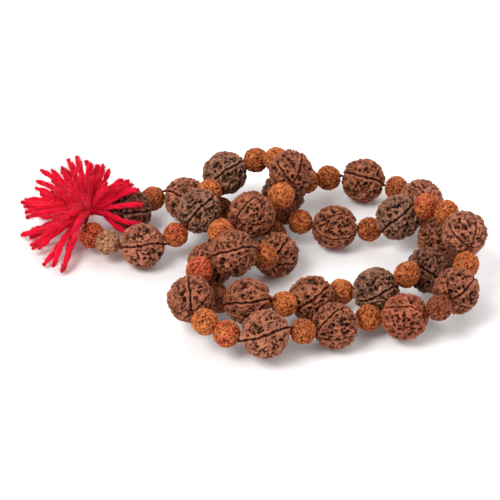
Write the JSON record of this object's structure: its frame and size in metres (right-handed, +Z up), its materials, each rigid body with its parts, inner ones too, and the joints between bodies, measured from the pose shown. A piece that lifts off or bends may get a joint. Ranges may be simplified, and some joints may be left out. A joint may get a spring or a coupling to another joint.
{
  "type": "mala prayer beads",
  "caption": "Loop of large and small rudraksha seeds threaded on one red string, lying in a loose heap, with a fanned-out red wool tassel at its knot.",
  "frame": {"origin": "middle of the heap's footprint, on the surface it lies on", "axes": "+Z up; +X along the heap's length, away from the tassel; +Y away from the near edge"},
  "size_m": [0.2222, 0.1442, 0.0408],
  "materials": {
    "large_seed": "dry pitted seed shell",
    "small_seed": "dry pitted seed shell",
    "string": "twisted cotton thread",
    "yarn": "soft wool yarn"
  },
  "bodies": {
    "string": {"string": "string"},
    "small_seed_pair_01": {"small_seed_pair_01": "small_seed"},
    "large_seed_01": {"large_seed_01": "large_seed"},
    "small_seed_01": {"small_seed_01": "small_seed"},
    "large_seed_02": {"large_seed_02": "large_seed"},
    "small_seed_02": {"small_seed_02": "small_seed"},
    "large_seed_03": {"large_seed_03": "large_seed"},
    "small_seed_pair_02": {"small_seed_pair_02": "small_seed"},
    "large_seed_04": {"large_seed_04": "large_seed"},
    "small_seed_03": {"small_seed_03": "small_seed"},
    "large_seed_05": {"large_seed_05": "large_seed"},
    "small_seed_04": {"small_seed_04": "small_seed"},
    "large_seed_06": {"large_seed_06": "large_seed"},
    "small_seed_pair_03": {"small_seed_pair_03": "small_seed"},
    "large_seed_07": {"large_seed_07": "large_seed"},
    "small_seed_05": {"small_seed_05": "small_seed"},
    "large_seed_08": {"large_seed_08": "large_seed"},
    "small_seed_06": {"small_seed_06": "small_seed"},
    "large_seed_09": {"large_seed_09": "large_seed"},
    "small_seed_07": {"small_seed_07": "small_seed"},
    "large_seed_10": {"large_seed_10": "large_seed"},
    "small_seed_08": {"small_seed_08": "small_seed"},
    "large_seed_11": {"large_seed_11": "large_seed"},
    "small_seed_09": {"small_seed_09": "small_seed"},
    "large_seed_12": {"large_seed_12": "large_seed"},
    "small_seed_10": {"small_seed_10": "small_seed"},
    "large_seed_13": {"large_seed_13": "large_seed"},
    "small_seed_pair_04": {"small_seed_pair_04": "small_seed"},
    "large_seed_14": {"large_seed_14": "large_seed"},
    "small_seed_pair_05": {"small_seed_pair_05": "small_seed"},
    "large_seed_15": {"large_seed_15": "large_seed"},
    "small_seed_11": {"small_seed_11": "small_seed"},
    "large_seed_16": {"large_seed_16": "large_seed"},
    "small_seed_pair_06": {"small_seed_pair_06": "small_seed"},
    "large_seed_17": {"large_seed_17": "large_seed"},
    "small_seed_12": {"small_seed_12": "small_seed"},
    "large_seed_18": {"large_seed_18": "large_seed"},
    "small_seed_13": {"small_seed_13": "small_seed"},
    "large_seed_19": {"large_seed_19": "large_seed"},
    "small_seed_14": {"small_seed_14": "small_seed"},
    "large_seed_20": {"large_seed_20": "large_seed"},
    "small_seed_15": {"small_seed_15": "small_seed"},
    "large_seed_21": {"large_seed_21": "large_seed"},
    "small_seed_pair_07": {"small_seed_pair_07": "small_seed"},
    "large_seed_22": {"large_seed_22": "large_seed"},
    "small_seed_16": {"small_seed_16": "small_seed"},
    "large_seed_23": {"large_seed_23": "large_seed"},
    "small_seed_17": {"small_seed_17": "small_seed"},
    "large_seed_24": {"large_seed_24": "large_seed"},
    "small_seed_18": {"small_seed_18": "small_seed"},
    "large_seed_25": {"large_seed_25": "large_seed"},
    "small_seed_19": {"small_seed_19": "small_seed"},
    "large_seed_26": {"large_seed_26": "large_seed"},
    "small_seed_20": {"small_seed_20": "small_seed"},
    "large_seed_27": {"large_seed_27": "large_seed"},
    "knot": {"tassel_knot": "string"},
    "tassel": {"tassel_binding": "yarn", "tassel_yarn": "yarn"}
  },
  "joints": [
    {"name": "tassel_swing", "type": "hinge", "parent": "string", "child": "knot", "pos_m": [-0.07407, 0.02788, 0.017], "axis": [0, 0, 1], "range_deg": [-10, 10]},
    {"name": "tassel_lift", "type": "hinge", "parent": "knot", "child": "tassel", "pos_m": [-0.07407, 0.02788, 0.017], "axis": [0, 1, 0], "range_deg": [0, 50]},
    {"name": "small_seed_pair_01_spin", "type": "hinge", "parent": "string", "child": "small_seed_pair_01", "pos_m": [-0.06883, 0.01386, 0.01026], "axis": [0.7293, -0.6741, 0.1167], "continuous": true},
    {"name": "large_seed_01_spin", "type": "hinge", "parent": "string", "child": "large_seed_01", "pos_m": [-0.04852, 0.00821, 0.01056], "axis": [0.9618, 0.2538, -0.1027], "continuous": true},
    {"name": "small_seed_01_spin", "type": "hinge", "parent": "string", "child": "small_seed_01", "pos_m": [-0.03298, 0.01231, 0.01391], "axis": [0.6919, 0.1816, 0.6988], "continuous": true},
    {"name": "large_seed_02_spin", "type": "hinge", "parent": "string", "child": "large_seed_02", "pos_m": [-0.02206, 0.02272, 0.02018], "axis": [0.5646, 0.8111, 0.1529], "continuous": true},
    {"name": "small_seed_02_spin", "type": "hinge", "parent": "string", "child": "small_seed_02", "pos_m": [-0.01728, 0.03875, 0.02016], "axis": [-0.2284, 0.9424, -0.2444], "continuous": true},
    {"name": "large_seed_03_spin", "type": "hinge", "parent": "string", "child": "large_seed_03", "pos_m": [-0.01025, 0.05365, 0.02028], "axis": [0.7215, 0.6745, 0.1565], "continuous": true},
    {"name": "small_seed_pair_02_spin", "type": "hinge", "parent": "string", "child": "small_seed_pair_02", "pos_m": [0.00957, 0.05699, 0.02602], "axis": [0.8762, -0.3746, 0.3032], "continuous": true},
    {"name": "large_seed_04_spin", "type": "hinge", "parent": "string", "child": "large_seed_04", "pos_m": [0.02131, 0.04023, 0.03034], "axis": [0.0492, -0.998, 0.0386], "continuous": true},
    {"name": "small_seed_03_spin", "type": "hinge", "parent": "string", "child": "small_seed_03", "pos_m": [0.0165, 0.02471, 0.02761], "axis": [-0.7498, -0.4902, -0.4444], "continuous": true},
    {"name": "large_seed_05_spin", "type": "hinge", "parent": "string", "child": "large_seed_05", "pos_m": [0.0027, 0.0127, 0.02564], "axis": [-0.7001, -0.7066, 0.103], "continuous": true},
    {"name": "small_seed_04_spin", "type": "hinge", "parent": "string", "child": "small_seed_04", "pos_m": [-0.01145, 0.00314, 0.02269], "axis": [-0.799, -0.1519, -0.5819], "continuous": true},
    {"name": "large_seed_06_spin", "type": "hinge", "parent": "string", "child": "large_seed_06", "pos_m": [-0.01661, -0.00703, 0.01066], "axis": [0.0492, -0.7559, -0.6528], "continuous": true},
    {"name": "small_seed_pair_03_spin", "type": "hinge", "parent": "string", "child": "small_seed_pair_03", "pos_m": [-0.0131, -0.02746, 0.00769], "axis": [0.2297, -0.8948, 0.383], "continuous": true},
    {"name": "large_seed_07_spin", "type": "hinge", "parent": "string", "child": "large_seed_07", "pos_m": [0.00091, -0.04074, 0.016], "axis": [0.9423, -0.1628, 0.2925], "continuous": true},
    {"name": "small_seed_05_spin", "type": "hinge", "parent": "string", "child": "small_seed_05", "pos_m": [0.01731, -0.04118, 0.01481], "axis": [0.7379, 0.2061, -0.6427], "continuous": true},
    {"name": "large_seed_08_spin", "type": "hinge", "parent": "string", "child": "large_seed_08", "pos_m": [0.02992, -0.03173, 0.01045], "axis": [0.6749, 0.7375, 0.024], "continuous": true},
    {"name": "small_seed_06_spin", "type": "hinge", "parent": "string", "child": "small_seed_06", "pos_m": [0.04372, -0.02337, 0.00787], "axis": [0.9157, 0.0541, -0.3982], "continuous": true},
    {"name": "large_seed_09_spin", "type": "hinge", "parent": "string", "child": "large_seed_09", "pos_m": [0.05926, -0.02731, 0.01167], "axis": [0.7515, -0.3599, 0.5529], "continuous": true},
    {"name": "small_seed_07_spin", "type": "hinge", "parent": "string", "child": "small_seed_07", "pos_m": [0.07304, -0.02701, 0.02066], "axis": [0.6771, 0.6555, 0.3344], "continuous": true},
    {"name": "large_seed_10_spin", "type": "hinge", "parent": "string", "child": "large_seed_10", "pos_m": [0.08378, -0.01598, 0.01481], "axis": [0.4972, 0.5339, -0.684], "continuous": true},
    {"name": "small_seed_08_spin", "type": "hinge", "parent": "string", "child": "small_seed_08", "pos_m": [0.09331, -0.00383, 0.00908], "axis": [0.4947, 0.7985, 0.343], "continuous": true},
    {"name": "large_seed_11_spin", "type": "hinge", "parent": "string", "child": "large_seed_11", "pos_m": [0.09115, 0.01243, 0.01064], "axis": [-0.4768, 0.8758, -0.0754], "continuous": true},
    {"name": "small_seed_09_spin", "type": "hinge", "parent": "string", "child": "small_seed_09", "pos_m": [0.08765, 0.02842, 0.01099], "axis": [0.3674, 0.9065, 0.208], "continuous": true},
    {"name": "large_seed_12_spin", "type": "hinge", "parent": "string", "child": "large_seed_12", "pos_m": [0.08444, 0.04448, 0.01059], "axis": [-0.4527, 0.8809, -0.1385], "continuous": true},
    {"name": "small_seed_10_spin", "type": "hinge", "parent": "string", "child": "small_seed_10", "pos_m": [0.07322, 0.05636, 0.00966], "axis": [-0.968, 0.219, 0.1223], "continuous": true},
    {"name": "large_seed_13_spin", "type": "hinge", "parent": "string", "child": "large_seed_13", "pos_m": [0.05742, 0.06165, 0.01039], "axis": [-0.929, 0.3701, 0], "continuous": true},
    {"name": "small_seed_pair_04_spin", "type": "hinge", "parent": "string", "child": "small_seed_pair_04", "pos_m": [0.03497, 0.06309, 0.01006], "axis": [-0.9794, -0.2004, -0.026], "continuous": true},
    {"name": "large_seed_14_spin", "type": "hinge", "parent": "string", "child": "large_seed_14", "pos_m": [0.01804, 0.04945, 0.01057], "axis": [-0.3736, -0.925, 0.0697], "continuous": true},
    {"name": "small_seed_pair_05_spin", "type": "hinge", "parent": "string", "child": "small_seed_pair_05", "pos_m": [0.02208, 0.02895, 0.012], "axis": [0.6706, -0.7404, 0.0469], "continuous": true},
    {"name": "large_seed_15_spin", "type": "hinge", "parent": "string", "child": "large_seed_15", "pos_m": [0.04201, 0.02266, 0.0106], "axis": [0.9512, 0.26, -0.166], "continuous": true},
    {"name": "small_seed_11_spin", "type": "hinge", "parent": "string", "child": "small_seed_11", "pos_m": [0.05862, 0.02323, 0.00893], "axis": [0.896, -0.4408, 0.0542], "continuous": true},
    {"name": "large_seed_16_spin", "type": "hinge", "parent": "string", "child": "large_seed_16", "pos_m": [0.07169, 0.02025, 0.01829], "axis": [0.6559, -0.0352, 0.754], "continuous": true},
    {"name": "small_seed_pair_06_spin", "type": "hinge", "parent": "string", "child": "small_seed_pair_06", "pos_m": [0.08889, 0.01307, 0.02814], "axis": [0.8079, -0.5853, 0.0693], "continuous": true},
    {"name": "large_seed_17_spin", "type": "hinge", "parent": "string", "child": "large_seed_17", "pos_m": [0.10039, -0.0048, 0.02743], "axis": [0.1902, -0.9728, -0.1326], "continuous": true},
    {"name": "small_seed_12_spin", "type": "hinge", "parent": "string", "child": "small_seed_12", "pos_m": [0.10049, -0.01975, 0.02068], "axis": [-0.3044, -0.5641, -0.7676], "continuous": true},
    {"name": "large_seed_18_spin", "type": "hinge", "parent": "string", "child": "large_seed_18", "pos_m": [0.09484, -0.03486, 0.0175], "axis": [-0.2988, -0.939, 0.1704], "continuous": true},
    {"name": "small_seed_13_spin", "type": "hinge", "parent": "string", "child": "small_seed_13", "pos_m": [0.08607, -0.04864, 0.01845], "axis": [-0.8841, -0.428, -0.1876], "continuous": true},
    {"name": "large_seed_19_spin", "type": "hinge", "parent": "string", "child": "large_seed_19", "pos_m": [0.07126, -0.0466, 0.01182], "axis": [-0.8027, 0.3785, -0.4609], "continuous": true},
    {"name": "small_seed_14_spin", "type": "hinge", "parent": "string", "child": "small_seed_14", "pos_m": [0.05524, -0.04393, 0.00903], "axis": [-0.887, -0.2596, 0.3819], "continuous": true},
    {"name": "large_seed_20_spin", "type": "hinge", "parent": "string", "child": "large_seed_20", "pos_m": [0.04001, -0.05152, 0.01057], "axis": [-0.834, -0.5397, -0.1146], "continuous": true},
    {"name": "small_seed_15_spin", "type": "hinge", "parent": "string", "child": "small_seed_15", "pos_m": [0.02536, -0.05825, 0.01284], "axis": [-0.8484, -0.1464, 0.5088], "continuous": true},
    {"name": "large_seed_21_spin", "type": "hinge", "parent": "string", "child": "large_seed_21", "pos_m": [0.00866, -0.06139, 0.01396], "axis": [-0.9595, -0.1884, -0.2093], "continuous": true},
    {"name": "small_seed_pair_07_spin", "type": "hinge", "parent": "string", "child": "small_seed_pair_07", "pos_m": [-0.01324, -0.05812, 0.01484], "axis": [-0.868, 0.4255, 0.2561], "continuous": true},
    {"name": "large_seed_22_spin", "type": "hinge", "parent": "string", "child": "large_seed_22", "pos_m": [-0.02465, -0.04074, 0.01752], "axis": [-0.0321, 0.9984, -0.0474], "continuous": true},
    {"name": "small_seed_16_spin", "type": "hinge", "parent": "string", "child": "small_seed_16", "pos_m": [-0.02094, -0.02519, 0.02168], "axis": [0.5684, 0.495, 0.6572], "continuous": true},
    {"name": "large_seed_23_spin", "type": "hinge", "parent": "string", "child": "large_seed_23", "pos_m": [-0.00559, -0.01843, 0.02624], "axis": [0.9618, 0.2734, -0.0145], "continuous": true},
    {"name": "small_seed_17_spin", "type": "hinge", "parent": "string", "child": "small_seed_17", "pos_m": [0.00859, -0.01275, 0.01998], "axis": [0.4062, 0.3446, -0.8463], "continuous": true},
    {"name": "large_seed_24_spin", "type": "hinge", "parent": "string", "child": "large_seed_24", "pos_m": [0.01416, 0.00096, 0.01058], "axis": [0.2209, 0.9356, -0.2755], "continuous": true},
    {"name": "small_seed_18_spin", "type": "hinge", "parent": "string", "child": "small_seed_18", "pos_m": [0.01311, 0.01743, 0.01053], "axis": [-0.514, 0.7286, 0.4527], "continuous": true},
    {"name": "large_seed_25_spin", "type": "hinge", "parent": "string", "child": "large_seed_25", "pos_m": [0.00157, 0.03118, 0.01059], "axis": [-0.6535, 0.7082, -0.2673], "continuous": true},
    {"name": "small_seed_19_spin", "type": "hinge", "parent": "string", "child": "small_seed_19", "pos_m": [-0.01241, 0.04055, 0.00812], "axis": [-0.983, 0.1403, 0.1188], "continuous": true},
    {"name": "large_seed_26_spin", "type": "hinge", "parent": "string", "child": "large_seed_26", "pos_m": [-0.02897, 0.04598, 0.0106], "axis": [-0.906, 0.3955, 0.1507], "continuous": true},
    {"name": "small_seed_20_spin", "type": "hinge", "parent": "string", "child": "small_seed_20", "pos_m": [-0.04523, 0.0478, 0.00935], "axis": [-0.8227, -0.3834, -0.4198], "continuous": true},
    {"name": "large_seed_27_spin", "type": "hinge", "parent": "string", "child": "large_seed_27", "pos_m": [-0.05557, 0.03513, 0.01122], "axis": [-0.376, -0.833, 0.4059], "continuous": true}
  ]
}
